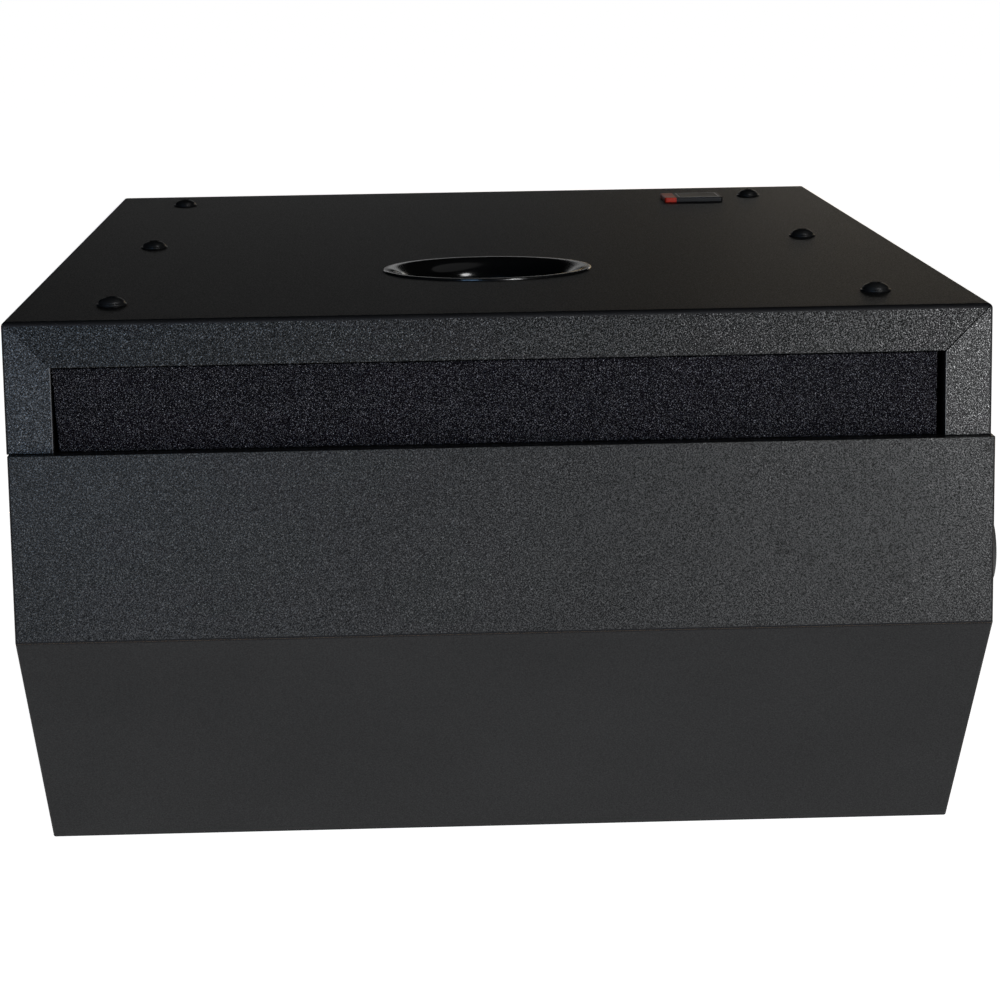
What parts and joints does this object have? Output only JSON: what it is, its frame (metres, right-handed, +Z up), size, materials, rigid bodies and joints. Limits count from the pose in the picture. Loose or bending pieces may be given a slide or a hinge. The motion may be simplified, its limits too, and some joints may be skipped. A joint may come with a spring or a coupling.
{
  "type": "powered car subwoofer",
  "caption": "Slot-loaded powered car subwoofer: wrapped board cabinet with a slanted end, foam-filled slot, flared top port and a rear amplifier panel.",
  "frame": {"origin": "middle of the whole box, on the surface that the bottom feet stand on", "axes": "+Z up; +Y from the end with the foam slot towards the amplifier panel; +X to the right seen from the slot end"},
  "size_m": [0.4098, 0.6166, 0.2562],
  "materials": {
    "vinyl_board": "black textured vinyl wrap over MDF board, satin",
    "raw_board": "bare MDF, matte",
    "slot_foam": "open-cell acoustic foam, navy black, matte",
    "wadding": "loose polyester wadding",
    "bolt_black": "black oxide steel, satin",
    "zinc_steel": "bright zinc plate",
    "port_black": "glossy black moulded plastic",
    "tube_black": "extruded black plastic, matte",
    "badge_black": "gloss black plate",
    "badge_red": "gloss orange-red inlay",
    "foot_rubber": "moulded black rubber, matte",
    "frame_black": "black powder-coated pressed steel",
    "gasket_foam": "black cellular rubber",
    "surround_rubber": "black butyl rubber, satin",
    "cone_pulp": "black coated pulp, matte",
    "spider_cloth": "resin-treated woven cloth",
    "former_film": "amber film",
    "coil_copper": "enamelled copper winding",
    "plated_iron": "zinc-plated iron",
    "ferrite": "dark grey ferrite ceramic",
    "terminal_strip": "fibre strip with plated tabs",
    "lead_red": "insulated stranded wire",
    "amp_panel": "black powder-coated steel plate",
    "heatsink_black": "black anodised extrusion",
    "circuit_board": "green solder mask over glass fibre",
    "toroid_copper": "copper wound ring core",
    "capacitor_sleeve": "heat-shrunk sleeve",
    "transistor_epoxy": "moulded epoxy",
    "pot_metal": "plated steel housing and bush",
    "knob_black": "fluted black plastic with a white pointer",
    "slider_black": "black plastic",
    "nickel": "nickel plate",
    "insert_white": "white and red insulators",
    "socket_black": "black moulded connector plastic",
    "fuse_green": "translucent green plastic with plated blades",
    "lens_green": "clear green lens",
    "screw_black": "black zinc screws"
  },
  "bodies": {
    "cabinet": {"top_plate": "vinyl_board", "cover_left_rail": "vinyl_board", "cover_right_rail": "vinyl_board", "cover_rear_rail": "vinyl_board", "spacer_blocks": "raw_board", "slot_foam": "slot_foam", "near_panel": "vinyl_board", "slanted_panel": "vinyl_board", "bottom_panel": "vinyl_board", "rear_panel": "vinyl_board", "left_side_panel": "vinyl_board", "right_side_panel": "vinyl_board", "inner_baffle": "raw_board", "damping_wadding": "wadding", "cover_bolts": "bolt_black", "tee_nuts": "zinc_steel", "port_flange": "port_black", "port_tube": "tube_black", "port_inner_flare": "tube_black", "badge_plate": "badge_black", "badge_stripe": "badge_red", "bottom_feet": "foot_rubber", "side_feet": "foot_rubber", "foot_screws": "zinc_steel", "woofer_basket": "frame_black", "woofer_gasket": "gasket_foam", "woofer_surround": "surround_rubber", "spider": "spider_cloth", "motor_top_plate": "plated_iron", "magnet": "ferrite", "yoke": "plated_iron", "woofer_screws": "screw_black", "woofer_terminals": "terminal_strip", "speaker_lead": "lead_red", "amp_plate": "amp_panel", "amp_gasket": "gasket_foam", "heatsink": "heatsink_black", "amp_board": "circuit_board", "toroid": "toroid_copper", "capacitors": "capacitor_sleeve", "transistors": "transistor_epoxy", "potentiometers": "pot_metal", "phase_switch_housing": "pot_metal", "rca_sockets": "nickel", "rca_inserts": "insert_white", "input_sockets": "socket_black", "power_terminals": "socket_black", "terminal_screws": "nickel", "fuse_holder": "socket_black", "indicator_lenses": "lens_green", "amp_screws": "screw_black"},
    "cone_assembly": {"woofer_cone": "cone_pulp", "dust_cap": "cone_pulp", "coil_former": "former_film", "voice_coil": "coil_copper"},
    "gain_knob": {"gain_knob": "knob_black"},
    "crossover_knob": {"crossover_knob": "knob_black"},
    "boost_knob": {"boost_knob": "knob_black"},
    "phase_slider": {"phase_slider": "slider_black"},
    "fuse": {"fuse": "fuse_green"}
  },
  "joints": [
    {"name": "cone_travel", "type": "slide", "parent": "cabinet", "child": "cone_assembly", "axis": [0, 0, 1], "range_m": [-0.008, 0.008], "stiffness_N_per_m": 3500, "deforming": ["woofer_surround", "spider"]},
    {"name": "gain_turn", "type": "hinge", "parent": "cabinet", "child": "gain_knob", "pos_m": [0.0199, 0.29125, 0.115], "axis": [0, 1, 0], "range_deg": [-150, 150]},
    {"name": "crossover_turn", "type": "hinge", "parent": "cabinet", "child": "crossover_knob", "pos_m": [0.0459, 0.29125, 0.115], "axis": [0, 1, 0], "range_deg": [-150, 150]},
    {"name": "boost_turn", "type": "hinge", "parent": "cabinet", "child": "boost_knob", "pos_m": [0.0719, 0.29125, 0.115], "axis": [0, 1, 0], "range_deg": [-150, 150]},
    {"name": "phase_slide", "type": "slide", "parent": "cabinet", "child": "phase_slider", "axis": [1, 0, 0], "range_m": [0, 0.005]},
    {"name": "fuse_pull", "type": "slide", "parent": "cabinet", "child": "fuse", "axis": [0, 1, 0], "range_m": [0, 0.018]}
  ]
}
